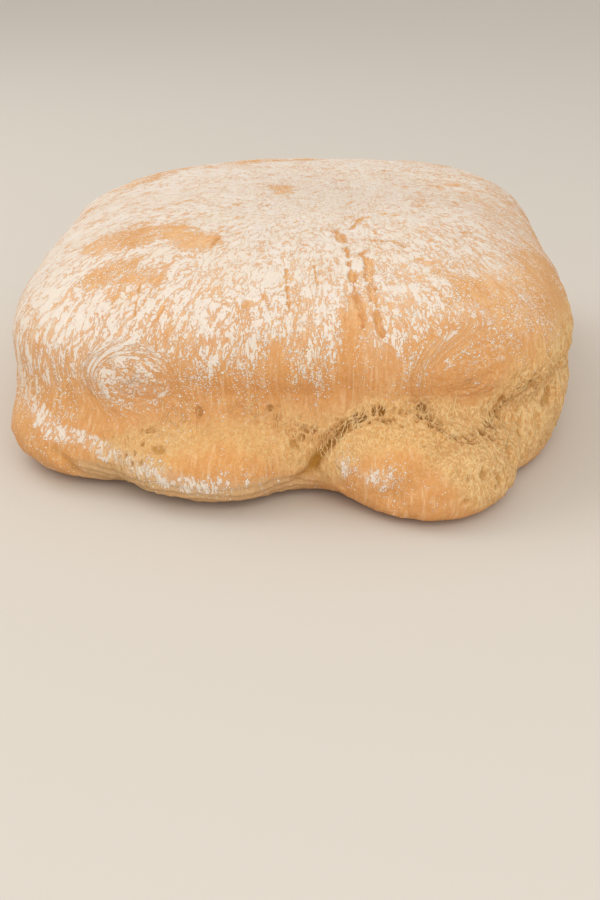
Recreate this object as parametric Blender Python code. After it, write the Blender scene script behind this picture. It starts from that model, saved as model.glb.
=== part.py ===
"""Ciabatta loaf: one solid bread, in metres, +Z up, resting on z = 0 with its near end at -Y.

Crust and crumb are one piece of baked dough, so the model is one closed solid. A block sliced into a grid is
pushed out, point by point, along rays from the loaf's heart to the skin of the dough. The skin is a distance
function: a domed crown over upright flanks, a tear that runs round under the crown where the dough burst,
and the lumps that pushed out below that tear.
"""

import math

import bmesh
import bpy
import numpy as np
from mathutils import Vector

# Driving dimensions of the finished loaf
WIDTH = 0.193
LENGTH = 0.246
HEIGHT = 0.078

# The crown: its plan at the belt, its widest level, and how square its sections are
BELT_Z = 0.034
CROWN_RISE = HEIGHT - BELT_Z
CROWN_DROP = 0.064
DOME_POWER = 2.75
FLANK_POWER = 3.2
BELT_PLAN = [
    (0.004, -0.113),
    (0.044, -0.115),
    (0.080, -0.094),
    (0.094, -0.056),
    (0.096, 0.010),
    (0.094, 0.066),
    (0.074, 0.101),
    (0.004, 0.118),
    (-0.064, 0.104),
    (-0.093, 0.068),
    (-0.096, 0.008),
    (-0.095, -0.056),
    (-0.081, -0.092),
    (-0.040, -0.109),
]
BASE_ROUNDING = 0.008
BASE_FLAT = 0.0002

# The tear under the crown: its level and depth round the loaf, in degrees from the near end to the right
TEAR_LEVEL = {
    -180: 0.024,
    -75: 0.026,
    -40: 0.029,
    0: 0.032,
    20: 0.031,
    33: 0.025,
    50: 0.032,
    85: 0.030,
    180: 0.024,
}
TEAR_DEPTH = {
    -180: 0.004,
    -140: 0.0,
    -48: 0.0,
    -20: 0.005,
    5: 0.008,
    35: 0.0095,
    52: 0.004,
    68: 0.0,
    140: 0.0,
    180: 0.004,
}
TEAR_HALF_HEIGHT = 0.0065
TEAR_RELAXED_Y = -0.080
TEAR_RELAXED_Z = 0.006
TEAR_RELAXED_TIMES = 3

# Lumps under the tear: centre, radii, and lean about Y in degrees
LUMPS = {
    "left lobe": ((-0.026, -0.101, 0.012), (0.034, 0.024, 0.0155), 3.0),
    "right lobe": ((0.024, -0.106, 0.0155), (0.023, 0.021, 0.0165), 14.0),
    "right foot": ((0.040, -0.100, 0.009), (0.030, 0.036, 0.021), 0.0),
    "left corner": ((-0.058, -0.064, 0.022), (0.038, 0.038, 0.024), -6.0),
    "left toe": ((-0.064, -0.078, 0.011), (0.034, 0.030, 0.016), 0.0),
    "right flank": ((0.066, -0.022, 0.014), (0.029, 0.058, 0.026), 0.0),
    "left flank": ((-0.066, 0.015, 0.010), (0.029, 0.062, 0.022), 0.0),
    "far lump": ((-0.022, 0.090, 0.012), (0.050, 0.029, 0.019), 0.0),
    "far right lump": ((0.045, 0.080, 0.012), (0.036, 0.034, 0.020), 0.0),
}
LUMP_BLEND = 0.0045

# The crease between the two lobes: start, end and radius of a rounded groove
CREASE = ((0.009, -0.121, 0.030), (-0.004, -0.118, 0.000), 0.0055)
CREASE_BLEND = 0.005

# The dome's uneven top: centre and radius of each swelling or hollow, and its height
SWELLINGS = [
    ((0.012, 0.020), 0.050, 0.0026),
    ((-0.048, -0.040), 0.034, 0.0022),
    ((0.052, -0.046), 0.034, 0.0022),
    ((0.018, -0.086), 0.017, -0.0030),
    ((0.016, -0.064), 0.012, -0.0022),
    ((-0.070, 0.050), 0.036, -0.0042),
    ((0.078, 0.050), 0.034, 0.0035),
]

# The block's grid, the heart its points are pushed from, and the steps each ray takes, coarse to fine
CELLS = (30, 32, 18)
HEART = np.array((0.0, 0.0, 0.024))
RAY_STEPS = (0.002, 0.0001, 0.000005)
CRUST_COLOUR = (0.74, 0.42, 0.16, 1.0)


def smooth_union(first, second, blend):
    """The lesser of two distances, rounded off where they are within blend of each other."""
    overlap = np.clip(1 - np.abs(first - second) / blend, 0, 1)
    return np.minimum(first, second) - overlap**2 * blend / 4


def smooth_cut(first, second, blend):
    """The greater of two distances, rounded off in the same way."""
    return -smooth_union(-first, -second, blend)


def closed_curve(points, steps=24):
    """A closed Catmull-Rom curve through the points."""
    points = np.array(points)
    before, after = np.roll(points, 1, axis=0), np.roll(points, -1, axis=0)
    beyond = np.roll(points, -2, axis=0)
    t = (np.arange(steps) / steps)[None, :, None]
    a = 2 * points
    b = after - before
    c = 2 * before - 5 * points + 4 * after - beyond
    d = 3 * points - before - 3 * after + beyond
    curve = (a[:, None] + b[:, None] * t + c[:, None] * t**2 + d[:, None] * t**3) / 2
    return curve.reshape(-1, 2)


def heading(x, y):
    """Degrees round the loaf from the near end, positive towards the right."""
    return np.degrees(np.arctan2(x, -y))


def level_at(x, y, table):
    """A value that eases from one named heading to the next."""
    degrees = np.array(sorted(table))
    values = np.array([table[d] for d in degrees])
    at = heading(x, y)
    after = np.clip(np.searchsorted(degrees, at), 1, len(degrees) - 1)
    part = (at - degrees[after - 1]) / (degrees[after] - degrees[after - 1])
    part = part * part * (3 - 2 * part)
    return values[after - 1] * (1 - part) + values[after] * part


OUTLINE = closed_curve(BELT_PLAN)
OUTLINE = OUTLINE[np.argsort(heading(*OUTLINE.T))]


def plan_radius(x, y):
    """How far the belt is from the middle in this point's direction."""
    degrees = heading(*OUTLINE.T)
    return np.interp(heading(x, y), degrees, np.linalg.norm(OUTLINE, axis=1), period=360)


def crown(p):
    """Roughly the distance from the crown's skin, negative inside."""
    x, y, z = p.T
    rise = z - BELT_Z
    upper = rise > 0
    power = np.where(upper, DOME_POWER, FLANK_POWER)
    reach = np.where(upper, CROWN_RISE, CROWN_DROP)
    plan = np.hypot(x, y) / plan_radius(x, y)
    size = (plan**power + np.abs(rise / reach) ** power) ** (1 / power)
    away = np.maximum(np.sqrt(x**2 + y**2 + rise**2), 1e-6)
    distance = away - away / np.maximum(size, 1e-5)
    for (cx, cy), radius, height in SWELLINGS:
        near = np.exp(-((x - cx) ** 2 + (y - cy) ** 2) / radius**2)
        distance = distance - height * near * np.clip(rise / CROWN_RISE, 0, 1)
    level = level_at(x, y, TEAR_LEVEL)
    depth = level_at(x, y, TEAR_DEPTH)
    return distance + depth * np.exp(-(((z - level) / TEAR_HALF_HEIGHT) ** 2))


def lump(p, centre, radii, lean):
    """Roughly the distance from an ellipsoid that leans about Y."""
    x, y, z = (p - np.array(centre)).T
    c, s = math.cos(math.radians(lean)), math.sin(math.radians(lean))
    q = np.stack([c * x - s * z, y, s * x + c * z], axis=1)
    size = np.linalg.norm(q / np.array(radii), axis=1)
    slope = np.linalg.norm(q / np.array(radii) ** 2, axis=1)
    return size * (size - 1) / np.maximum(slope, 1e-9)


def groove(p, start, end, radius):
    """The distance from a rounded bar between two points."""
    start, along = np.array(start), np.subtract(end, start)
    part = np.clip((p - start) @ along / (along @ along), 0, 1)
    return np.linalg.norm(p - start - part[:, None] * along, axis=1) - radius


def skin(p):
    """Roughly the distance from the loaf's skin, negative inside."""
    distance = crown(p)
    for centre, radii, lean in LUMPS.values():
        distance = smooth_union(distance, lump(p, centre, radii, lean), LUMP_BLEND)
    distance = smooth_cut(distance, -groove(p, *CREASE), CREASE_BLEND)
    return smooth_cut(distance, -p[:, 2], BASE_ROUNDING)


def pushed_to_skin(points):
    """Each point moved along its ray from the heart to where the ray first leaves the dough."""
    ray = points - HEART
    ray /= np.linalg.norm(ray, axis=1)[:, None]
    near = np.zeros(len(points))
    for step in RAY_STEPS:
        while (inside := skin(HEART + ray * (near + step)[:, None]) < 0).any():
            near = near + step * inside
    return HEART + ray * near[:, None]


def flattened(points):
    """The points with the underside drawn onto one plane."""
    low = points[:, 2].min()
    points[points[:, 2] < low + BASE_FLAT, 2] = low
    return points


def fitted(points):
    """The points scaled to the driving dimensions, their box centred on the Z axis and standing on z = 0."""
    low, high = points.min(axis=0), points.max(axis=0)
    middle = np.array(((low[0] + high[0]) / 2, (low[1] + high[1]) / 2, low[2]))
    return (points - middle) * np.array((WIDTH, LENGTH, HEIGHT)) / (high - low)


def sliced_block():
    """A block as large as the loaf, cut into a grid by planes along each axis."""
    bm = bmesh.new()
    bmesh.ops.create_cube(bm, size=1.0)
    size = Vector((WIDTH, LENGTH, HEIGHT))
    bmesh.ops.scale(bm, vec=size, verts=bm.verts)
    bmesh.ops.translate(bm, vec=(0, 0, HEIGHT / 2), verts=bm.verts)
    for axis, cells in enumerate(CELLS):
        normal = Vector((0, 0, 0))
        normal[axis] = 1
        low = 0 if axis == 2 else -size[axis] / 2
        for cut in range(1, cells):
            place = normal * (low + size[axis] * cut / cells)
            everything = bm.verts[:] + bm.edges[:] + bm.faces[:]
            bmesh.ops.bisect_plane(bm, geom=everything, plane_co=place, plane_no=normal)
    return bm


def places(bm):
    return np.array([v.co[:] for v in bm.verts])


def put(bm, points):
    for vertex, point in zip(bm.verts, points):
        vertex.co = point


def crust_material():
    material = bpy.data.materials.new("crust")
    material.use_nodes = True
    shader = material.node_tree.nodes["Principled BSDF"]
    shader.inputs["Base Color"].default_value = CRUST_COLOUR
    shader.inputs["Roughness"].default_value = 0.8
    shader.inputs["Metallic"].default_value = 0.0
    return material


def make_loaf(collection):
    bm = sliced_block()
    put(bm, pushed_to_skin(places(bm)))
    tear = [v for v in bm.verts if v.co.y < TEAR_RELAXED_Y and v.co.z > TEAR_RELAXED_Z]
    for _ in range(TEAR_RELAXED_TIMES):
        bmesh.ops.smooth_vert(bm, verts=tear, factor=0.5, use_axis_x=True, use_axis_y=True, use_axis_z=True)
    put(bm, fitted(flattened(places(bm))))
    bmesh.ops.recalc_face_normals(bm, faces=bm.faces)
    mesh = bpy.data.meshes.new("ciabatta_loaf")
    bm.to_mesh(mesh)
    bm.free()
    mesh.shade_smooth()
    mesh.materials.append(crust_material())
    collection.objects.link(bpy.data.objects.new("ciabatta_loaf", mesh))


for old in list(bpy.data.objects):
    bpy.data.objects.remove(old)
ciabatta = bpy.data.collections.new("ciabatta loaf")
bpy.context.scene.collection.children.link(ciabatta)
make_loaf(ciabatta)
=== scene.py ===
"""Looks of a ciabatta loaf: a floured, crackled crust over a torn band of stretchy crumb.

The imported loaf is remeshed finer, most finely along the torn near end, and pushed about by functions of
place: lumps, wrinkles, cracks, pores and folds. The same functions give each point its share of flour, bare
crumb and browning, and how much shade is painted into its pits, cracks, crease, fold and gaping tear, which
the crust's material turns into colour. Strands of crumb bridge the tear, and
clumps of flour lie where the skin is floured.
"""

import math

import bmesh
import bpy
import numpy as np
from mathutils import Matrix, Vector
from mathutils.bvhtree import BVHTree


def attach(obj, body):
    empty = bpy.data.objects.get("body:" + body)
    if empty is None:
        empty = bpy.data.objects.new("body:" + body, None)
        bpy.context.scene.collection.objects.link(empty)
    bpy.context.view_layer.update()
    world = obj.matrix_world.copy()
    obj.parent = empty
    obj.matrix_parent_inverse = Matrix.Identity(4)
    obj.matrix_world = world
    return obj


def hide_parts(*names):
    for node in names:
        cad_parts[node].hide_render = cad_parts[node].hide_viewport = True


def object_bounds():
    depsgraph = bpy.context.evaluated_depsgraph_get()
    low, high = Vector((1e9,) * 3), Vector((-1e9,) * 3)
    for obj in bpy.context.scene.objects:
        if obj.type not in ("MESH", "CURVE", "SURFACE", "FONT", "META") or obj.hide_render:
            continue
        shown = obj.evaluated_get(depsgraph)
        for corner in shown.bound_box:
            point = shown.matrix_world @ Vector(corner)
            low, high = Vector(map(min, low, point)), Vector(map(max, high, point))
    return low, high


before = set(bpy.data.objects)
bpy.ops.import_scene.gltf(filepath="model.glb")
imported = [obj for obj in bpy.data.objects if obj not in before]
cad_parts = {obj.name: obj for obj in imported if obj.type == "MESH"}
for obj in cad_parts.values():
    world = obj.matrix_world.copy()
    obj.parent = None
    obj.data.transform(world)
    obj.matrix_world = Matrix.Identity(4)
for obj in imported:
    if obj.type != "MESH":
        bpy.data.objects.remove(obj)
cad_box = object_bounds()

# Camera and light
CAMERA_PLACE = (0.001, -0.452, 0.175)
CAMERA_PITCH = 65.8
LENS = 50
WORLD_STRENGTH = 0.74

# The remesh's face size, before zones of it are split finer
VOXEL = 0.0029
# How far a ripple's phase takes to turn one radian
RIPPLE = 0.00042

# Strands of crumb across the tear, and clumps of flour
STRANDS = 320
STRAND_STEPS = 8
STRAND_SIDES = 4
CLUMPS = 18000

# Colours, linear
FLOUR = (0.82, 0.73, 0.63)
FLOUR_WARM = (0.80, 0.69, 0.57)
CLUMP = (0.93, 0.81, 0.68)
CRUST_GOLD = (0.80, 0.46, 0.20)
CRUST_TAN = (0.69, 0.36, 0.135)
CRUST_BARE = (0.88, 0.58, 0.32)
# A deeper crust tone, also used as painted shade in the crackle and round the flour islands
CRUST_DEEP_AND_SHADE = (0.66, 0.29, 0.085)
CRUST_PALE = (0.86, 0.58, 0.34)
LOBE_GOLD = (0.80, 0.42, 0.13)
CRUMB = (0.73, 0.42, 0.165)
CRUMB_TAN = (0.66, 0.36, 0.13)
CRUMB_PALE = (0.88, 0.64, 0.32)
# Painted shade inside the crumb's pores
CRUMB_SHADE = (0.60, 0.31, 0.09)
# Painted shade for the pits, holes, cracks, crease, fold and gaping tear
CREVICE_SHADE = (0.44, 0.20, 0.028)
LIP = (0.60, 0.39, 0.195)
FLOOR = (0.66, 0.60, 0.52)

# The line of the tear round the near end, from the left corner to the right side: x, y, z
TEAR = [
    (-0.062, -0.093, 0.017),
    (-0.048, -0.101, 0.021),
    (-0.039, -0.098, 0.026),
    (-0.028, -0.0975, 0.030),
    (-0.014, -0.0976, 0.0285),
    (-0.002, -0.0997, 0.025),
    (0.008, -0.105, 0.0215),
    (0.015, -0.1045, 0.027),
    (0.025, -0.1037, 0.0305),
    (0.037, -0.102, 0.0305),
    (0.043, -0.1055, 0.0265),
    (0.050, -0.1085, 0.0235),
    (0.056, -0.104, 0.0225),
    (0.063, -0.0915, 0.024),
    (0.072, -0.088, 0.033),
    (0.084, -0.070, 0.038),
    (0.094, -0.045, 0.035),
]
# How deep the tear gapes at each of its points, and how far bare crumb reaches above each
TEAR_GAPE = (0.1, 0.15, 0.2, 0.2, 0.2, 0.35, 0.9, 0.9, 1.0, 1.0, 1.0, 1.0, 1.0, 0.8, 0.7, 0.3, 0.0)
TEAR_REACH = (
    0.002, 0.004, 0.006, 0.005, 0.006, 0.006, 0.006, 0.006, 0.007,
    0.008, 0.010, 0.010, 0.010, 0.010, 0.012, 0.014, 0.010,
)
# A shorter tear at the far end
FAR_TEAR = [
    (0.060, 0.104, 0.022),
    (0.040, 0.112, 0.027),
    (0.015, 0.115, 0.028),
    (-0.010, 0.115, 0.024),
    (-0.034, 0.110, 0.018),
]
# The crease between the two lobes under the tear
CREASE = [(0.015, -0.104, 0.027), (0.008, -0.105, 0.020), (0.0025, -0.105, 0.010), (-0.002, -0.105, 0.002)]
# The fold under the floured edge at the left corner
FOLD = [
    (-0.077, -0.093, 0.0135),
    (-0.0726, -0.095, 0.0095),
    (-0.070, -0.094, 0.0054),
    (-0.064, -0.096, 0.003),
]
# The shallow valley between the right lobe and the foot beside it
VALLEY = [
    (0.044, -0.112, 0.0235),
    (0.040, -0.1166, 0.0204),
    (0.0363, -0.1191, 0.0176),
    (0.0325, -0.1203, 0.0140),
    (0.028, -0.120, 0.010),
]

# Cracks in the floured skin: points, half width and depth
CRACKS = [
    ([(0.0128, -0.047, 0.073), (0.0140, -0.053, 0.072), (0.0156, -0.058, 0.071)], 0.0017, 0.0012),
    (
        [(0.0156, -0.060, 0.070), (0.0164, -0.070, 0.068), (0.0176, -0.082, 0.064), (0.0194, -0.091, 0.060),
         (0.0201, -0.097, 0.055)],
        0.0011,
        0.0009,
    ),
    (
        [(0.0200, -0.064, 0.069), (0.0222, -0.070, 0.068), (0.0227, -0.082, 0.064), (0.0244, -0.094, 0.058),
         (0.0257, -0.099, 0.053)],
        0.0014,
        0.0010,
    ),
    ([(0.0215, -0.057, 0.071), (0.0299, -0.058, 0.0716), (0.0344, -0.063, 0.0706)], 0.0005, 0.0006),
    ([(0.0170, -0.049, 0.073), (0.0215, -0.040, 0.0745), (0.0300, -0.036, 0.075)], 0.0007, 0.0004),
    ([(0.0051, -0.070, 0.068), (0.0058, -0.076, 0.066), (0.0065, -0.082, 0.064)], 0.0004, 0.0004),
    ([(-0.0034, -0.074, 0.067), (-0.0030, -0.084, 0.063), (-0.0020, -0.091, 0.059)], 0.0005, 0.0004),
    ([(-0.0271, -0.061, 0.071), (-0.0255, -0.057, 0.072), (-0.0242, -0.054, 0.072)], 0.0006, 0.0007),
    ([(-0.0480, -0.076, 0.064), (-0.0490, -0.083, 0.060), (-0.0495, -0.089, 0.054)], 0.0004, 0.0004),
    ([(0.0400, -0.087, 0.060), (0.0365, -0.093, 0.057), (0.0335, -0.097, 0.053)], 0.0004, 0.0004),
]
# The furrow that carries the main crack down the shoulder to the tear
FURROW = [(0.018, -0.086, 0.062), (0.017, -0.096, 0.055), (0.015, -0.102, 0.045), (0.0147, -0.100, 0.033)]

# Places rubbed bare of flour: centre and radii
BARE = [
    ((-0.0546, -0.0507, 0.0707), (0.022, 0.010, 0.012)),
    ((-0.0560, -0.0725, 0.0640), (0.015, 0.006, 0.010)),
    ((-0.0345, -0.0560, 0.0715), (0.010, 0.008, 0.008)),
    ((-0.0050, -0.0086, 0.0771), (0.005, 0.006, 0.008)),
    ((0.0790, -0.0500, 0.0585), (0.012, 0.024, 0.010)),
    ((0.0560, -0.0800, 0.0600), (0.012, 0.007, 0.006)),
    ((-0.0100, 0.0600, 0.0750), (0.024, 0.009, 0.010)),
    ((0.0500, 0.0700, 0.0660), (0.016, 0.012, 0.010)),
    ((-0.0600, 0.0620, 0.0660), (0.016, 0.020, 0.012)),
]
# Flour lower down: centre, radii and strength
DUSTED = [
    ((-0.0505, -0.0940, 0.0370), (0.017, 0.016, 0.012), 0.60),
    ((-0.0850, -0.0760, 0.0400), (0.012, 0.016, 0.022), 0.60),
    ((-0.0225, -0.1125, 0.0112), (0.010, 0.010, 0.0038), 0.54),
    ((0.0142, -0.1115, 0.0154), (0.0026, 0.008, 0.0045), 0.80),
    ((0.0240, -0.1172, 0.0148), (0.0075, 0.010, 0.0045), 0.62),
    ((0.0235, -0.1000, 0.0490), (0.005, 0.010, 0.010), 0.52),
    ((0.0300, -0.1010, 0.0440), (0.005, 0.010, 0.007), 0.36),
]
# Share of flour at each height, before the rest is taken into account
FLOUR_HEIGHTS = (0.022, 0.034, 0.043, 0.050, 0.060, 0.070)
FLOUR_SHARES = (0.06, 0.16, 0.34, 0.56, 0.84, 1.06)
# The floured edge round the left corner and along the top of the lip
DUSTED_EDGE = [
    (-0.0914, -0.0670, 0.0300),
    (-0.0840, -0.0820, 0.0235),
    (-0.0755, -0.0908, 0.0189),
    (-0.0639, -0.0953, 0.0168),
    (-0.0550, -0.1004, 0.0146),
    (-0.0462, -0.1074, 0.0134),
    (-0.0377, -0.1111, 0.0110),
    (-0.0290, -0.1120, 0.0092),
]
# Places baked redder than the rest, and places baked gold: centre and radii
BROWNED = [
    ((-0.0210, -0.1110, 0.0150), (0.012, 0.012, 0.006)),
    ((0.0260, -0.1180, 0.0150), (0.013, 0.010, 0.008)),
    ((0.0370, -0.1220, 0.0050), (0.026, 0.012, 0.005)),
    ((-0.0300, -0.0985, 0.0300), (0.034, 0.012, 0.006)),
    ((-0.0600, -0.0900, 0.0320), (0.022, 0.014, 0.008)),
    ((0.0480, -0.1000, 0.0480), (0.030, 0.012, 0.012)),
    ((0.0100, -0.1020, 0.0400), (0.030, 0.012, 0.007)),
]
GOLDEN = [
    ((-0.0210, -0.1080, 0.0200), (0.015, 0.012, 0.007)),
    ((-0.0360, -0.1060, 0.0160), (0.010, 0.010, 0.005)),
    ((0.0320, -0.1120, 0.0240), (0.014, 0.010, 0.006)),
]
# Holes left by big bubbles in the crumb: centre, radii and depth
HOLES = [
    ((0.0667, -0.0993, 0.0148), (0.0030, 0.0040, 0.0042), 0.0030),
    ((0.0726, -0.0862, 0.0320), (0.0035, 0.0040, 0.0030), 0.0026),
    ((0.0500, -0.1190, 0.0090), (0.0022, 0.0030, 0.0016), 0.0018),
    ((0.0560, -0.1150, 0.0160), (0.0014, 0.0030, 0.0022), 0.0014),
    ((-0.0421, -0.1057, 0.0194), (0.0026, 0.0030, 0.0013), 0.0012),
    ((-0.0011, -0.1031, 0.0205), (0.0013, 0.0030, 0.0015), 0.0010),
    ((-0.0082, -0.0969, 0.0296), (0.0011, 0.0030, 0.0012), 0.0010),
    ((-0.0300, -0.0975, 0.0290), (0.0011, 0.0030, 0.0012), 0.0010),
    ((-0.0460, -0.1010, 0.0230), (0.0010, 0.0030, 0.0008), 0.0008),
    ((0.0820, -0.0740, 0.0250), (0.0030, 0.0040, 0.0030), 0.0018),
]
# Broad swells of the skin: centre, radii and height
SWELLS = [
    ((-0.0900, -0.0600, 0.0420), (0.020, 0.030, 0.014), 0.0030),
    ((-0.0900, -0.0800, 0.0060), (0.020, 0.020, 0.008), -0.0022),
    ((0.0900, -0.0500, 0.0580), (0.020, 0.030, 0.012), -0.0020),
    ((0.0850, -0.0700, 0.0120), (0.014, 0.020, 0.010), -0.0026),
    ((-0.0210, -0.1080, 0.0160), (0.015, 0.014, 0.009), 0.0014),
]
# Knobs that the skin swirls round: centre, radius and turn
KNOBS = [
    ((-0.0505, -0.0945, 0.0370), 0.012, -1.0),
    ((0.0520, -0.0990, 0.0400), 0.014, 1.0),
]


# ---------------------------------------------------------------- functions of place

def smooth(low, high, value):
    part = np.clip((value - low) / (high - low), 0, 1)
    return part * part * (3 - 2 * part)


def lattice(i, j, k, salt):
    """A repeatable random number from 0 to 1 for each whole-number place."""
    n = (i * 73856093) ^ (j * 19349663) ^ (k * 83492791) ^ (salt * 2654435761)
    n = (n ^ (n >> 13)) * 1274126177
    n = n ^ (n >> 16)
    return (n & 0xFFFFFF) / float(0xFFFFFF)


def noise(p, size, salt=0):
    """Smooth noise from -1 to 1 whose bumps are about size across."""
    q = p / size + 100.0
    whole = np.floor(q).astype(np.int64)
    f = q - whole
    f = f * f * f * (f * (f * 6 - 15) + 10)
    total = 0
    for corner in range(8):
        step = np.array([corner & 1, corner >> 1 & 1, corner >> 2 & 1])
        weight = np.prod(np.where(step, f, 1 - f), axis=1)
        total = total + weight * lattice(*(whole + step).T, salt)
    return total * 2 - 1


def layered(p, size, layers=3, salt=0):
    """Noise with finer, fainter layers added."""
    return sum(noise(p, size / 2**n, salt + n) / 2**n for n in range(layers)) / 1.6


def cells(p, size, salt=0):
    """Distance to the nearest and second nearest of points scattered one to a cell, over the cell's size."""
    q = p / size + 100.0
    whole = np.floor(q).astype(np.int64)
    first = np.full(len(p), 9.0)
    second = np.full(len(p), 9.0)
    for i in (-1, 0, 1):
        for j in (-1, 0, 1):
            for k in (-1, 0, 1):
                cell = whole + (i, j, k)
                spot = cell + np.stack([lattice(*cell.T, salt + n) for n in range(3)], axis=1)
                away = np.linalg.norm(q - spot, axis=1)
                second = np.minimum(second, np.maximum(first, away))
                first = np.minimum(first, away)
    return first, second


def near_line(p, points):
    """Distance from a line of points, and how far along it the nearest place is, from 0 to 1."""
    points = np.array(points)
    best = np.full(len(p), 9.0)
    along = np.zeros(len(p))
    for n, (start, end) in enumerate(zip(points[:-1], points[1:])):
        way = end - start
        part = np.clip((p - start) @ way / (way @ way), 0, 1)
        away = np.linalg.norm(p - start - part[:, None] * way, axis=1)
        along = np.where(away < best, (n + part) / (len(points) - 1), along)
        best = np.minimum(best, away)
    return best, along


def spot(p, centre, radii):
    """1 at the centre of a soft spot, falling to 0 past its radii."""
    return np.exp(-(((p - centre) / np.array(radii)) ** 2).sum(axis=1))


def down_flow(p):
    """Coordinates that follow the dough's stretch: round the loaf, and down from its top."""
    x, y, z = p[:, 0] - 0.010, p[:, 1] + 0.015, p[:, 2]
    r = np.maximum(np.hypot(x, y), 1e-6)
    ring = 0.085 * (1 - np.exp(-r / 0.035))
    down = np.hypot(r, 1.2 * (0.078 - z))
    return np.stack([x / r * ring, y / r * ring, 0.38 * down], axis=1)


def flow(p):
    """The downward stretch, curling round each knob."""
    stretch = down_flow(p)
    for centre, size, turn in KNOBS:
        q = p - centre
        away = np.sqrt(q[:, 0] ** 2 + (1.3 * q[:, 2]) ** 2 + 0.3 * q[:, 1] ** 2)
        angle = np.arctan2(1.3 * q[:, 2], q[:, 0])
        turned = 0.35 * size
        round_it = np.stack([0.8 * away, turned * np.sin(angle), turned * np.cos(angle)], axis=1)
        curl = down_flow(np.array([centre]))[0] + round_it
        share = smooth(1.5 * size, 0.6 * size, away)[:, None]
        stretch = stretch * (1 - share) + curl * share
    return stretch


# ---------------------------------------------------------------- the loaf's mesh

def fine_copy(node):
    """The loaf's solid as an even mesh, split finer towards the near end and finest along the tear."""
    mesh = bpy.data.meshes.new("crust")
    bm = bmesh.new()
    bm.from_mesh(node.data)
    bmesh.ops.remove_doubles(bm, verts=bm.verts, dist=1e-6)
    bm.to_mesh(mesh)
    bm.free()
    loaf = bpy.data.objects.new("crust", mesh)
    bpy.context.scene.collection.objects.link(loaf)
    remesh = loaf.modifiers.new("even", "REMESH")
    remesh.mode = "VOXEL"
    remesh.voxel_size = VOXEL
    remesh.adaptivity = 0
    evaluated = loaf.evaluated_get(bpy.context.evaluated_depsgraph_get())
    even = bpy.data.meshes.new_from_object(evaluated)
    loaf.modifiers.clear()
    loaf.data = even
    relax(even, 4)
    for zone in (near_zone, tear_zone, finest_zone):
        split(even, zone)
        relax(even, 3)
    return loaf


def near_zone(p):
    """The near half of the skin, and the far tear."""
    far = near_line(p, FAR_TEAR)[0] < 0.014
    return ((p[:, 1] < -0.010 + 0.3 * (p[:, 2] - 0.07)) | far) & (p[:, 2] > 0.0015)


def tear_zone(p):
    """The band round the tear, the lobes, the right side and the cracks."""
    away = near_line(p, TEAR)[0]
    low = (p[:, 1] < -0.085) & (p[:, 2] < 0.034) & (p[:, 2] > 0.002) & (p[:, 0] > -0.080)
    side = (p[:, 0] > 0.045) & (p[:, 1] < -0.055) & (p[:, 2] < 0.044) & (p[:, 2] > 0.003)
    knobs = np.min([np.linalg.norm(p - centre, axis=1) - size for centre, size, turn in KNOBS], axis=0) < 0
    cracks = (crack_distance(p) < 0.004) | (near_line(p, FURROW)[0] < 0.005)
    return (away < 0.012) | low | side | knobs | cracks


def finest_zone(p):
    """The gaping part of the tear, the crease and the main cracks."""
    away, along = near_line(p, TEAR)
    gape = np.interp(along, np.linspace(0, 1, len(TEAR)), TEAR_GAPE)
    return (away < 0.0035 + 0.003 * gape) | (near_line(p, CREASE)[0] < 0.004) | (crack_distance(p) < 0.0026)


def crack_distance(p):
    return np.min([near_line(p, points)[0] for points, half, depth in CRACKS], axis=0)


def split(mesh, zone):
    bm = bmesh.new()
    bm.from_mesh(mesh)
    centres = np.array([f.calc_center_median()[:] for f in bm.faces])
    chosen = zone(centres)
    edges = {e for f, take in zip(bm.faces, chosen) if take for e in f.edges}
    bmesh.ops.subdivide_edges(bm, edges=list(edges), cuts=1, use_grid_fill=True)
    bm.to_mesh(mesh)
    bm.free()


def points_of(mesh):
    co = np.empty(len(mesh.vertices) * 3)
    mesh.vertices.foreach_get("co", co)
    return co.reshape(-1, 3)


def normals_of(mesh):
    flat = np.empty(len(mesh.vertices) * 3)
    mesh.vertex_normals.foreach_get("vector", flat)
    return flat.reshape(-1, 3)


def set_points(mesh, p):
    mesh.vertices.foreach_set("co", p.ravel())
    mesh.update()


def edges_of(mesh):
    edges = np.empty(len(mesh.edges) * 2, np.int64)
    mesh.edges.foreach_get("vertices", edges)
    return edges.reshape(-1, 2)


def averaged(values, edges):
    """Each point's mean over its neighbours."""
    total = np.zeros_like(values)
    count = np.bincount(edges.ravel(), minlength=len(values))
    np.add.at(total, edges[:, 0], values[edges[:, 1]])
    np.add.at(total, edges[:, 1], values[edges[:, 0]])
    return total / np.maximum(count, 1)[:, None]


def relax(mesh, times):
    """Smooths facets away while keeping the volume, and keeps the underside flat."""
    edges = edges_of(mesh)
    p = points_of(mesh)
    flat = p[:, 2] < 0.0006
    for _ in range(times):
        for pull in (0.6, -0.62):
            moved = p + pull * (averaged(p, edges) - p)
            moved[flat, 2] = p[flat, 2]
            p = moved
    set_points(mesh, p)


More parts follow.
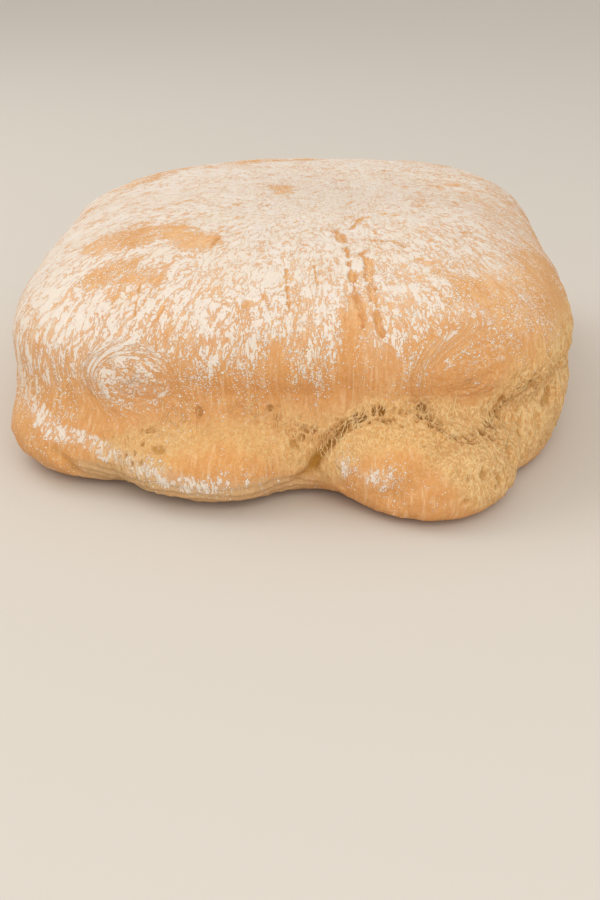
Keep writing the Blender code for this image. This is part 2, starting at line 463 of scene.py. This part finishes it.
def masks_of(p, stretch):
    """How much each point is torn crumb, floured, browned, golden and lip, and where it lies by the tear."""
    z = p[:, 2]
    away, along = near_line(p, TEAR)
    steps = np.linspace(0, 1, len(TEAR))
    warp = layered(p, 0.012, 3, 40)
    above = z - np.interp(along, steps, [t[2] for t in TEAR])
    reach = np.interp(along, steps, TEAR_REACH)
    tongues = layered(stretch, 0.004, 2, 41)
    upper = 1 - smooth(0.1 * reach, 1.8 * reach, above + 0.002 * warp + 0.002 * tongues)
    lower = 1 - smooth(0.008, 0.020, away + 0.003 * warp + 0.002 * tongues)
    right = smooth(0.040, 0.055, p[:, 0])
    back = p[:, 1] + 0.022 * layered(p, 0.024, 3, 49) + 0.25 * (z - 0.02)
    crumb = upper * np.maximum(lower, right) * smooth(0.035, -0.045, back)
    wall = smooth(0.070, 0.088, p[:, 0] + 0.004 * warp) * smooth(0.062, 0.040, z + 0.006 * warp)
    wall = wall * smooth(0.035, -0.045, back)
    crumb = np.maximum(crumb, 0.85 * wall) * smooth(-0.072, -0.050, p[:, 0]) * smooth(0.002, 0.006, z)
    far_away = near_line(p, FAR_TEAR)[0]
    crumb = np.maximum(crumb, smooth(0.011, 0.004, far_away + 0.003 * warp))
    for centre, radii in BROWNED:
        crumb *= 1 - 0.7 * spot(p, centre, radii)

    height = z + 0.004 * warp + 0.014 * smooth(-0.02, -0.085, p[:, 0]) - 0.011 * smooth(0.015, 0.055, p[:, 0])
    height += 0.004 * layered(stretch, 0.010, 2, 43)
    flour = np.interp(height, FLOUR_HEIGHTS, FLOUR_SHARES)
    streaky = layered(stretch, 0.0045, 3, 45) + 0.6 * noise(stretch, 0.0016, 46)
    for centre, radii in BARE:
        flour *= 1 - 0.70 * smooth(0.10, 0.70, spot(p, centre, radii) + 0.30 * streaky)
    furrow = np.exp(-((near_line(p, FURROW)[0] / 0.0032) ** 2))
    flour *= (1 - 0.9 * crumb) * (1 - 0.75 * furrow)
    for centre, radii, strength in DUSTED:
        flour = np.maximum(flour, strength * spot(p, centre, radii))
    edge = near_line(p + 0.0012 * warp[:, None], DUSTED_EDGE)[0]
    lace = 0.72 + 0.16 * noise(p, 0.0016, 47) + 0.10 * noise(p, 0.006, 48)
    flour = np.maximum(flour, lace * smooth(0.0058, 0.0014, edge))

    brown = 0.45 + 0.4 * layered(p, 0.018, 3, 60) + 0.35 * smooth(0.062, 0.040, z)
    gold = np.zeros(len(p))
    for centre, radii in BROWNED:
        brown = brown + 0.6 * spot(p, centre, radii)
    for centre, radii in GOLDEN:
        gold = np.maximum(gold, spot(p, centre, radii))
    lip = (p[:, 1] < -0.06) * smooth(-0.076, -0.064, p[:, 0]) * smooth(0.012, -0.004, p[:, 0])
    lip *= smooth(0.0125, 0.0090, z + 0.0015 * warp) * smooth(0.0004, 0.002, z)
    return {
        "crumb": crumb,
        "flour": flour,
        "brown": np.clip(brown, 0, 1),
        "gold": gold,
        "lip": lip,
        "away": away,
        "along": along,
        "furrow": furrow,
    }


def cracked(p, flour):
    """Lift, painted shade and flour left by the cracks in the skin: each crack is shaded, most near its edges.
    """
    lift = np.zeros(len(p))
    pit = np.zeros(len(p))
    ragged = 0.55 * noise(p, 0.0011, 11) + 0.75 * noise(p, 0.0026, 12)
    for points, half, depth in CRACKS:
        away, along = near_line(p, points)
        ends = np.sqrt(np.clip(1 - (2 * along - 1) ** 4, 0, 1))
        width = np.maximum(0.85 * half * ends * (1 + 0.5 * noise(p, 0.0045, 13)), 1e-5)
        inside = smooth(1.5, 0.6, (away + (0.7 * half + 0.0002) * ragged) / width)
        rim = np.exp(-(((away - 1.6 * half) / (0.6 * half)) ** 2))
        lift += 0.20 * depth * rim * ends - depth * inside
        # Painted shade in each crack, strongest near its edges
        edge_shade = np.exp(-(((away / width - 0.75) / 0.35) ** 2)) * ends
        pit = np.maximum(pit, 0.22 * inside + 0.28 * edge_shade * inside)
        flour = flour * (1 - 0.88 * inside)
    return lift, pit, flour


def torn(p, m):
    """Lift of the torn crumb, and the shade painted into its hollows: fibres, webs, pores, bubble holes,
    valley, crease and the gaping tear.
    """
    crumb, away = m["crumb"], m["away"]
    tall = p * (1.0, 1.0, 0.30)
    near_tear = np.exp(-((away / 0.008) ** 2))
    bent = tall + 0.0007 * np.stack([noise(p, 0.005, 70 + n) for n in range(3)], axis=1)
    fibre = np.clip(1 - np.abs(layered(bent, 0.0021, 2, 27)) * 3.2, -0.4, 1)
    wobbly = p * (1.0, 1.0, 0.62) + 0.0009 * np.stack([noise(p, 0.0025, 74 + n) for n in range(3)], axis=1)
    first, second = cells(wobbly * (1.0, 1.0, 0.8), 0.0026, 29)
    net = smooth(0.30, 0.04, second - first) * (0.30 + 0.70 * smooth(0.000, 0.040, p[:, 0]))
    ridges = (0.00030 + 0.00025 * near_tear) * net
    lift = crumb * (0.00016 * fibre + ridges + 0.0004 * layered(p, 0.007, 2, 28))

    first, second = cells(p * (1.0, 1.0, 0.7), 0.0026, 21)
    hole = smooth(0.36, 0.16, first) * smooth(0.0, 0.45, noise(p, 0.007, 25) + 0.25 * near_tear)
    first, second = cells(bent * (1.0, 1.0, 1.7), 0.0036, 31)
    slit = smooth(0.44, 0.15, first) * smooth(0.030, 0.055, p[:, 0])
    slit = slit * smooth(-0.55, 0.0, noise(p, 0.009, 33))
    lift -= crumb * (0.0010 * hole + 0.0011 * slit)
    # Shade painted into the bubble holes, slits and grooves between fibres, then the gaping tear, valley,
    # crease and far tear
    pit = crumb * np.maximum(0.65 * hole, 0.62 * slit)
    pit = np.maximum(pit, crumb * 0.22 * np.clip(-fibre, 0, 1))

    gape = np.interp(m["along"], np.linspace(0, 1, len(TEAR)), TEAR_GAPE)
    warped = p + 0.0006 * np.stack([noise(p, 0.002, 77 + n) for n in range(3)], axis=1)
    first, second = cells(warped * (1.0, 1.0, 0.8), 0.0030, 71)
    wall = smooth(0.34, 0.08, second - first)
    band = smooth(0.0040, 0.0014, away + 0.0014 * noise(p, 0.004, 15)) * gape
    core = smooth(0.0018, 0.0004, away + 0.0008 * noise(p, 0.003, 16)) * gape
    between = band * (1 - 0.95 * wall) * smooth(-0.5, 0.1, noise(p, 0.008, 17))
    open_part = np.maximum(between, 0.5 * core * (1 - 0.6 * wall))
    lift -= 0.0024 * open_part
    pit = np.maximum(pit, 0.92 * open_part)

    valley = np.exp(-(((near_line(p, VALLEY)[0] + 0.0008 * noise(p, 0.004, 34)) / 0.0034) ** 2))
    lift -= 0.0026 * valley
    pit = np.maximum(pit, 0.34 * valley)

    crease_away, crease_along = near_line(p, CREASE)
    crease = np.exp(-(((crease_away + 0.0008 * noise(p, 0.003, 18)) / 0.0021) ** 2))
    lift -= 0.0024 * crease
    pit = np.maximum(pit, 0.90 * crease)
    for centre, radii, depth in HOLES:
        q = (p - centre) / np.array(radii) * (1 + 0.3 * noise(p, 0.003, 19))[:, None]
        inside = smooth(1.2, 0.6, np.linalg.norm(q, axis=1))
        lift -= depth * inside
        pit = np.maximum(pit, 0.60 * inside)
    far = smooth(0.0035, 0.0010, near_line(p, FAR_TEAR)[0] + 0.0012 * noise(p, 0.004, 20))
    lift -= 0.0020 * far
    return lift, np.maximum(pit, 0.6 * far)


def sculpt(loaf):
    """Pushes the mesh in and out, and stores what its material needs as attributes."""
    mesh = loaf.data
    p = points_of(mesh)
    normal = normals_of(mesh)
    z = p[:, 2]
    stretch = flow(p)
    m = masks_of(p, stretch)
    off_base = smooth(0.0005, 0.004, z)

    lift = 0.0010 * layered(p, 0.030, 2, 1) + 0.00035 * layered(stretch, 0.008, 2, 3)
    lift += (1 - m["crumb"]) * 0.00020 * layered(stretch, 0.0026, 2, 5)
    for centre, radii, height in SWELLS:
        lift += height * spot(p, centre, radii)
    low = smooth(0.060, 0.035, z)
    crinkled = stretch * (1.0, 1.0, 0.7) + 0.0006 * noise(p, 0.004, 9)[:, None]
    crinkle = 1 - 3.0 * np.abs(layered(crinkled, 0.0030, 2, 6))
    lift += low * (0.00022 * np.clip(crinkle, -0.6, 1) + 0.00030 * layered(p, 0.0034, 3, 7))
    lift -= 0.0016 * m["furrow"]
    # The cracks and the torn crumb also give the shade painted into their hollows
    crack_lift, pit, flour = cracked(p, m["flour"])
    torn_lift, torn_shade = torn(p, m)
    lift += crack_lift + torn_lift
    pit = np.maximum(pit, torn_shade)

    for centre, size, turn in KNOBS:
        q = p - centre
        radius = np.sqrt(q[:, 0] ** 2 + (1.3 * q[:, 2]) ** 2 + 0.3 * q[:, 1] ** 2)
        angle = np.arctan2(1.3 * q[:, 2], q[:, 0])
        ripple = np.sin(radius / RIPPLE + turn * angle + 3.5 * noise(p, 0.006, 44))
        around = smooth(0.0005, 0.004, radius) * np.exp(-((radius / size) ** 2))
        lift += 0.00021 * ripple * around * (q[:, 1] < 0.03)

    # Folds of the lip along the foot, and the deeper fold at its left end, with painted shade in its groove
    lip = m["lip"]
    lift += 0.00030 * lip * np.sin((z + 0.0016 * noise(p, 0.014, 50)) / RIPPLE)
    fold = np.exp(-((near_line(p, FOLD)[0] / 0.0021) ** 2))
    lift -= 0.0018 * fold
    gold = np.maximum(m["gold"], 0.9 * fold)
    pit = np.maximum(pit, 0.42 * fold)

    set_points(mesh, p + normal * (lift * off_base)[:, None])
    values = {
        "flour": flour,
        "crumb": m["crumb"],
        "brown": m["brown"],
        "gold": gold,
        "pit": pit,
        "lip": lip,
    }
    for name, value in values.items():
        mesh.attributes.new(name, "FLOAT", "POINT").data.foreach_set("value", value.astype(np.float32))
    flow_attribute = mesh.attributes.new("flow", "FLOAT_VECTOR", "POINT")
    flow_attribute.data.foreach_set("vector", stretch.astype(np.float32).ravel())
    mesh.shade_smooth()
    return flour


# ---------------------------------------------------------------- strands and flour

def tree_of(mesh):
    places = [v.co[:] for v in mesh.vertices]
    return BVHTree.FromPolygons(places, [tuple(f.vertices) for f in mesh.polygons])


def piece_of(name, points, faces, material):
    """A smooth-shaded piece that rides on the loaf."""
    mesh = bpy.data.meshes.new(name)
    mesh.from_pydata(points.tolist(), [], faces.tolist())
    mesh.update()
    mesh.shade_smooth()
    mesh.materials.append(material)
    piece = bpy.data.objects.new(name, mesh)
    bpy.context.scene.collection.objects.link(piece)
    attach(piece, "root")
    return piece


def strand_ends(rng):
    """Start and end of each strand: most rise from the tear, some bridge it, and some run down from it."""
    line = np.array(TEAR)
    steps = np.linspace(0, 1, len(line))
    chance = rng.uniform(0.02, 0.97, STRANDS * 4)
    weight = 0.16 + 0.84 * np.interp(chance, steps, TEAR_GAPE)
    along = chance[rng.random(len(chance)) < weight][:STRANDS]
    centre = np.stack([np.interp(along, steps, line[:, n]) for n in range(3)], axis=1)
    centre[:, 0] += rng.normal(0, 0.0012, len(along))
    kind = rng.random(len(along))
    rising, bridging = kind < 0.62, kind > 0.82
    from_tear = rng.uniform(-0.0010, 0.0030, len(along))
    from_below = rng.uniform(-0.0060, -0.0015, len(along))
    low = np.where(rising, from_tear, from_below)
    low = np.where(bridging, rng.uniform(-0.0035, -0.0015, len(along)), low)
    risen = low + rng.gamma(3.0, 0.0007, len(along)) + 0.0012
    high = np.where(rising, risen, rng.uniform(-0.0008, 0.0010, len(along)))
    high = np.where(bridging, rng.uniform(0.0010, 0.0024, len(along)), high)
    lean = rng.normal(0, 0.45, len(along)) + 0.50 * np.sin(along * 31)
    start, end = centre.copy(), centre.copy()
    start[:, 2] += low
    end[:, 2] += high
    end[:, 0] += lean * (high - low)
    start[:, 1] -= np.maximum(-low, 0) * 0.8
    return start, end


def tubes(paths, radii):
    """Thin closed tubes along rows of points."""
    count, steps, _ = paths.shape
    ahead = np.gradient(paths, axis=1)
    ahead /= np.maximum(np.linalg.norm(ahead, axis=2, keepdims=True), 1e-9)
    side = np.cross(ahead, (0.0, 1.0, 0.05))
    side /= np.maximum(np.linalg.norm(side, axis=2, keepdims=True), 1e-9)
    out = np.cross(side, ahead)
    turn = np.arange(STRAND_SIDES) * 2 * math.pi / STRAND_SIDES
    ring = side[:, :, None] * np.cos(turn)[:, None] + out[:, :, None] * np.sin(turn)[:, None]
    points = paths[:, :, None] + ring * radii[:, :, None, None]
    index = np.arange(count * steps * STRAND_SIDES).reshape(count, steps, STRAND_SIDES)
    here, there = index[:, :-1], index[:, 1:]
    faces = np.stack([here, np.roll(here, -1, axis=2), np.roll(there, -1, axis=2), there], axis=-1)
    caps = np.concatenate([index[:, 0, ::-1], index[:, -1]])
    return points.reshape(-1, 3), np.concatenate([faces.reshape(-1, 4), caps])


def make_strands(whole, material):
    """Strands of crumb lying on the skin's line from before it was torn, so that they bridge the gape."""
    rng = np.random.default_rng(11)
    start, end = strand_ends(rng)
    count = len(start)
    part = np.linspace(0, 1, STRAND_STEPS)
    bow = rng.normal(0, 0.0007, (count, 1)) * np.sin(part * math.pi)
    bow = bow + rng.normal(0, 0.00016, (count, STRAND_STEPS))
    paths = start[:, None] + (end - start)[:, None] * part[:, None]
    paths[:, :, 0] += bow
    flat = paths.reshape(-1, 3)
    sway = 0.0011 * noise(flat, 0.0045, 91) + 0.0004 * noise(flat, 0.0015, 92)
    paths[:, :, 0] += sway.reshape(count, STRAND_STEPS)
    proud = rng.uniform(-0.00030, 0.00015, count)
    for n in range(count):
        for k in range(STRAND_STEPS):
            place, normal = whole.find_nearest(Vector(paths[n, k]))[:2]
            paths[n, k] = np.array(place) + np.array(normal) * proud[n]
    thick = rng.uniform(0.00010, 0.00020, (count, 1))
    waist = 0.35 + 0.65 * np.abs(2 * part - 1) ** 0.5
    radii = thick * waist * (1 + 0.2 * rng.normal(0, 1, (count, STRAND_STEPS)))
    radii[:, 0] *= 0.3
    radii[:, -1] *= 0.3
    points, faces = tubes(paths, np.maximum(radii, 0.00003))
    return piece_of("strands", points, faces, material)


def make_clumps(loaf, flour, material):
    """Small squashed clumps of flour, half sunk in the skin where it is floured."""
    rng = np.random.default_rng(23)
    mesh = loaf.data
    mesh.calc_loop_triangles()
    corners = np.empty(len(mesh.loop_triangles) * 3, np.int32)
    mesh.loop_triangles.foreach_get("vertices", corners)
    corners = corners.reshape(-1, 3)
    p = points_of(mesh)
    a, b, c = (p[corners[:, n]] for n in range(3))
    across = np.cross(b - a, c - a)
    area = np.linalg.norm(across, axis=1)
    share = flour[corners].mean(axis=1)
    centre = p[corners].mean(axis=1)
    patchy = smooth(-0.25, 0.35, layered(flow(centre), 0.005, 3, 81))
    broken = np.interp(share, (0.05, 0.25, 0.50, 0.80), (0.10, 0.60, 0.40, 0.0))
    wanted = area * broken * patchy * (share > 0.04) * (centre[:, 2] > 0.003)
    chosen = rng.choice(len(wanted), CLUMPS, p=wanted / wanted.sum())
    u, v = rng.random((2, CLUMPS))
    over = u + v > 1
    u, v = np.where(over, 1 - u, u), np.where(over, 1 - v, v)
    spots = a[chosen] + (b - a)[chosen] * u[:, None] + (c - a)[chosen] * v[:, None]
    up = across[chosen] / area[chosen][:, None]
    side = np.cross(up, rng.normal(0, 1, (CLUMPS, 3)))
    side /= np.linalg.norm(side, axis=1, keepdims=True)
    fore = np.cross(up, side)
    size = rng.gamma(4.0, 0.000042, CLUMPS) + 0.00007
    tips = []
    for axis, tall in ((side, 1.0), (fore, 0.8), (-side, 1.0), (-fore, 0.8), (up, 0.25), (-up, 0.5)):
        tips.append(spots + axis * (size * tall * rng.uniform(0.7, 1.3, CLUMPS))[:, None])
    points = np.stack(tips, axis=1).reshape(-1, 3)
    ring = [(0, 1, 4), (1, 2, 4), (2, 3, 4), (3, 0, 4), (1, 0, 5), (2, 1, 5), (3, 2, 5), (0, 3, 5)]
    faces = (np.arange(CLUMPS)[:, None, None] * 6 + np.array(ring)).reshape(-1, 3)
    return piece_of("flour_clumps", points, faces, material)


# ---------------------------------------------------------------- materials

class Nodes:
    """A short way to write a material's nodes."""

    def __init__(self, name):
        self.material = bpy.data.materials.new(name)
        self.material.use_nodes = True
        self.tree = self.material.node_tree
        self.shader = self.tree.nodes["Principled BSDF"]

    def add(self, kind, inputs=None, **settings):
        node = self.tree.nodes.new("ShaderNode" + kind)
        for key, value in settings.items():
            setattr(node, key, value)
        for key, value in (inputs or {}).items():
            self.put(node.inputs[key], value)
        return node

    def put(self, socket, value):
        if isinstance(value, bpy.types.NodeSocket):
            self.tree.links.new(value, socket)
        elif isinstance(value, tuple) and len(value) == 3 and socket.type == "RGBA":
            socket.default_value = (*value, 1)
        else:
            socket.default_value = value

    def attribute(self, name, output="Fac"):
        return self.add("Attribute", attribute_name=name).outputs[output]

    def math(self, operation, a, b=0.0, clamp=False):
        return self.add("Math", {0: a, 1: b}, operation=operation, use_clamp=clamp).outputs[0]

    def weighted(self, *terms):
        total = 0.0
        for value, weight in terms:
            node = self.add("Math", {0: value, 1: weight, 2: total}, operation="MULTIPLY_ADD")
            total = node.outputs[0]
        return total

    def ramp(self, value, low, high, to_low=0.0, to_high=1.0):
        return self.add(
            "MapRange", {0: value, 1: low, 2: high, 3: to_low, 4: to_high}, interpolation_type="SMOOTHSTEP"
        ).outputs[0]

    def mix(self, factor, a, b):
        node = self.add("Mix", data_type="RGBA")
        self.put(node.inputs[0], factor)
        self.put(node.inputs[6], a)
        self.put(node.inputs[7], b)
        return node.outputs[2]

    def noise(self, place, scale, detail=2.0, rough=0.5, distortion=0.0):
        return self.add(
            "TexNoise",
            {"Vector": place, "Scale": scale, "Detail": detail, "Roughness": rough, "Distortion": distortion},
        ).outputs[0]

    def edge(self, place, scale):
        """Distance from the walls between rounded cells."""
        inputs = {"Vector": place, "Scale": scale}
        return self.add("TexVoronoi", inputs, feature="DISTANCE_TO_EDGE").outputs[0]

    def valley(self, place, scale, detail, rough):
        """0 along thin wandering lines, rising to either side."""
        return self.math("ABSOLUTE", self.math("SUBTRACT", self.noise(place, scale, detail, rough, 0.4), 0.5))


def crust_material():
    n = Nodes("crust")
    place = n.add("TexCoord").outputs["Object"]
    stretch = n.attribute("flow", "Vector")
    flour, crumb, brown = n.attribute("flour"), n.attribute("crumb"), n.attribute("brown")
    gold, pit, lip = n.attribute("gold"), n.attribute("pit"), n.attribute("lip")

    streaks = n.noise(stretch, 430, 4, 0.62, 0.35)
    grain = n.noise(place, 1700, 2, 0.60)
    patches = n.noise(stretch, 110, 3, 0.55, 0.2)
    blotch = n.noise(place, 55, 3, 0.55)
    wide_cut = n.ramp(n.valley(stretch, 330, 3, 0.6), 0.050, 0.012)
    thin_cut = n.ramp(n.valley(stretch, 820, 2, 0.5), 0.070, 0.015)

    # Flour lies where its share beats the noises, and the skin's fine cracks show the crust through it
    score = n.weighted(
        (flour, 2.3),
        (streaks, 2.4),
        (grain, 2.4),
        (patches, 2.4),
        (wide_cut, -1.5),
        (thin_cut, -0.9),
        (pit, -2.0),
    )
    cover = n.ramp(score, 4.40, 4.68)
    # The crust just outside each flour island, where a thin line of shade is painted
    edge_shade = n.math("MULTIPLY", n.ramp(score, 3.85, 4.40), n.math("SUBTRACT", 1.0, cover))
    cover = n.math("MULTIPLY", cover, n.ramp(flour, 0.01, 0.08))
    veil = n.math("MULTIPLY", n.ramp(flour, 0.15, 1.00), 0.22)

    ground = n.mix(n.ramp(blotch, 0.35, 0.65), CRUST_GOLD, CRUST_BARE)
    crust = n.mix(n.ramp(brown, 0.30, 0.80), ground, CRUST_TAN)
    crust = n.mix(n.math("MULTIPLY", gold, 0.85), crust, LOBE_GOLD)
    wrinkle = n.ramp(n.valley(place, 520, 3, 0.6), 0.060, 0.010)
    crust = n.mix(n.math("MULTIPLY", n.ramp(streaks, 0.56, 0.36), 0.50), crust, CRUST_DEEP_AND_SHADE)
    # Painted shade in the crackle's cuts through the flour
    crust = n.mix(n.math("MULTIPLY", n.math("MAXIMUM", wide_cut, thin_cut), 0.30), crust, CRUST_DEEP_AND_SHADE)
    crust = n.mix(n.math("MULTIPLY", wrinkle, 0.24), crust, CRUST_DEEP_AND_SHADE)
    # Painted shade round each flour island
    crust = n.mix(n.math("MULTIPLY", edge_shade, 0.45), crust, CRUST_DEEP_AND_SHADE)
    long_way = n.add("VectorMath", {0: stretch, 1: (1.0, 1.0, 0.45)}, operation="MULTIPLY").outputs[0]
    hair = n.noise(long_way, 1250, 2, 0.6, 0.3)
    low_down = n.ramp(brown, 0.20, 0.80, 0.25, 1.0)
    dark_hair = n.math("MULTIPLY", n.ramp(hair, 0.56, 0.40), low_down)
    pale_hair = n.math("MULTIPLY", n.ramp(hair, 0.52, 0.70), low_down)
    crust = n.mix(n.weighted((dark_hair, 0.50)), crust, CRUST_DEEP_AND_SHADE)
    crust = n.mix(n.weighted((pale_hair, 0.45)), crust, CRUST_PALE)
    crust = n.mix(n.math("MULTIPLY", n.ramp(grain, 0.50, 0.72), 0.35), crust, CRUST_BARE)
    upright = n.add("VectorMath", {0: place, 1: (1.0, 1.0, 0.22)}, operation="MULTIPLY").outputs[0]
    fibre = n.valley(upright, 620, 3, 0.5)
    thread = n.ramp(fibre, 0.055, 0.0)
    bread = n.mix(n.ramp(n.noise(place, 160, 3, 0.6), 0.35, 0.65), CRUMB, CRUMB_TAN)
    bread = n.mix(n.math("MULTIPLY", gold, 0.6), bread, LOBE_GOLD)
    bread = n.mix(n.math("MULTIPLY", n.ramp(hair, 0.54, 0.40), 0.30), bread, CRUST_DEEP_AND_SHADE)
    bend = n.add("TexNoise", {"Vector": upright, "Scale": 420, "Detail": 2}).outputs[1]
    netted = n.add("VectorMath", {0: place, 1: (1.0, 1.0, 0.6)}, operation="MULTIPLY").outputs[0]
    bent = {0: bend, 1: (0.005, 0.005, 0.005), 2: netted}
    netted = n.add("VectorMath", bent, operation="MULTIPLY_ADD").outputs[0]
    net = n.edge(netted, 640)
    porous = n.ramp(n.add("SeparateXYZ", {0: place}).outputs[0], 0.000, 0.045, 0.40, 1.0)
    # Painted shade inside the crumb's pores
    pore_shade = n.math("MULTIPLY", n.ramp(net, 0.10, 0.32), porous)
    walls = n.math("MULTIPLY", n.ramp(net, 0.11, 0.02), porous)
    bread = n.mix(n.math("MULTIPLY", pore_shade, 0.55), bread, CRUMB_SHADE)
    bread = n.mix(n.math("MULTIPLY", walls, 0.60), bread, CRUMB_PALE)
    bread = n.mix(n.math("MULTIPLY", thread, 0.45), bread, CRUMB_PALE)
    colour = n.mix(n.ramp(crumb, 0.15, 0.85), crust, bread)
    colour = n.mix(n.math("MULTIPLY", lip, 0.75), colour, LIP)
    dust = n.mix(n.ramp(n.noise(stretch, 90, 2, 0.5), 0.35, 0.65), FLOUR, FLOUR_WARM)
    colour = n.mix(veil, colour, dust)
    colour = n.mix(n.math("MULTIPLY", cover, 0.90), colour, dust)
    # Painted shade: pits, holes, cracks, crease, fold and the gaping tear darkened towards the crevice shade
    colour = n.mix(n.ramp(pit, 0.15, 0.95), colour, CREVICE_SHADE)

    n.put(n.shader.inputs["Base Color"], colour)
    n.put(n.shader.inputs["Roughness"], n.ramp(cover, 0, 1, 0.68, 0.95))
    n.shader.inputs["Specular IOR Level"].default_value = 0.25
    n.shader.inputs["Subsurface Weight"].default_value = 0.12
    n.shader.inputs["Subsurface Scale"].default_value = 0.002
    n.shader.inputs["Subsurface Radius"].default_value = (1.0, 0.5, 0.25)

    fuzz = n.math("MULTIPLY", n.weighted((thread, 0.5), (n.ramp(net, 0.25, 0.02), 1.0)), crumb)
    height = n.weighted(
        (cover, 0.30),
        (streaks, 1.0),
        (grain, 0.6),
        (fuzz, 0.5),
        (wrinkle, -0.2),
        (wide_cut, -0.2),
        (hair, 0.8),
    )
    bump = n.add("Bump", {"Strength": 0.75, "Distance": 0.0004, "Height": height})
    n.put(n.shader.inputs["Normal"], bump.outputs[0])
    return n.material


def plain_material(name, colour, other, scale):
    """A rough material that wavers between two colours."""
    n = Nodes(name)
    place = n.add("TexCoord").outputs["Object"]
    wavering = n.ramp(n.noise(place, scale, 2, 0.5), 0.35, 0.65)
    n.put(n.shader.inputs["Base Color"], n.mix(wavering, colour, other))
    n.shader.inputs["Roughness"].default_value = 0.85
    n.shader.inputs["Specular IOR Level"].default_value = 0.2
    n.shader.inputs["Subsurface Weight"].default_value = 0.15
    n.shader.inputs["Subsurface Scale"].default_value = 0.001
    n.shader.inputs["Subsurface Radius"].default_value = (1.0, 0.6, 0.35)
    return n.material


def floor_material():
    n = Nodes("floor")
    n.shader.inputs["Base Color"].default_value = (*FLOOR, 1)
    n.shader.inputs["Roughness"].default_value = 0.9
    n.shader.inputs["Specular IOR Level"].default_value = 0.1
    return n.material


# ---------------------------------------------------------------- scene

def make_floor():
    mesh = bpy.data.meshes.new("floor")
    bm = bmesh.new()
    bmesh.ops.create_grid(bm, x_segments=1, y_segments=1, size=60.0)
    bm.to_mesh(mesh)
    bm.free()
    floor = bpy.data.objects.new("floor", mesh)
    bpy.context.scene.collection.objects.link(floor)
    floor.location.z = cad_box[0][2] - 0.0002
    mesh.materials.append(floor_material())


def area_lamp(name, place, aim, size, power):
    lamp = bpy.data.lights.new(name, "AREA")
    lamp.shape = "SQUARE"
    lamp.size = size
    lamp.energy = power
    light = bpy.data.objects.new(name, lamp)
    bpy.context.scene.collection.objects.link(light)
    light.location = place
    light.rotation_mode = "QUATERNION"
    light.rotation_quaternion = (Vector(aim) - Vector(place)).to_track_quat("-Z", "Y")


def make_light():
    world = bpy.data.worlds.new("studio")
    bpy.context.scene.world = world
    world.use_nodes = True
    background = world.node_tree.nodes["Background"]
    background.inputs["Color"].default_value = (1, 1, 1, 1)
    background.inputs["Strength"].default_value = WORLD_STRENGTH
    area_lamp("window", (-0.75, 0.25, 0.95), (0, 0, 0.04), 0.9, 4.5)
    area_lamp("fill", (0.15, -1.1, 0.7), (0, 0, 0.04), 1.0, 6.8)


def make_camera():
    data = bpy.data.cameras.new("camera")
    data.lens = LENS
    data.sensor_width = 36
    data.clip_start = 0.01
    camera = bpy.data.objects.new("camera", data)
    bpy.context.scene.collection.objects.link(camera)
    camera.location = CAMERA_PLACE
    camera.rotation_euler = (math.radians(CAMERA_PITCH), 0, 0)
    bpy.context.scene.camera = camera


def make_loaf():
    loaf = fine_copy(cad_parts["ciabatta_loaf"])
    whole = tree_of(loaf.data)
    flour = sculpt(loaf)
    loaf.data.materials.clear()
    loaf.data.materials.append(crust_material())
    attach(loaf, "root")
    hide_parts("ciabatta_loaf")
    make_strands(whole, plain_material("strands", CRUMB_PALE, CRUMB, 160))
    make_clumps(loaf, flour, plain_material("flour", CLUMP, FLOUR, 200))


bpy.context.scene.view_settings.view_transform = "Standard"
make_camera()
make_light()
make_floor()
make_loaf()
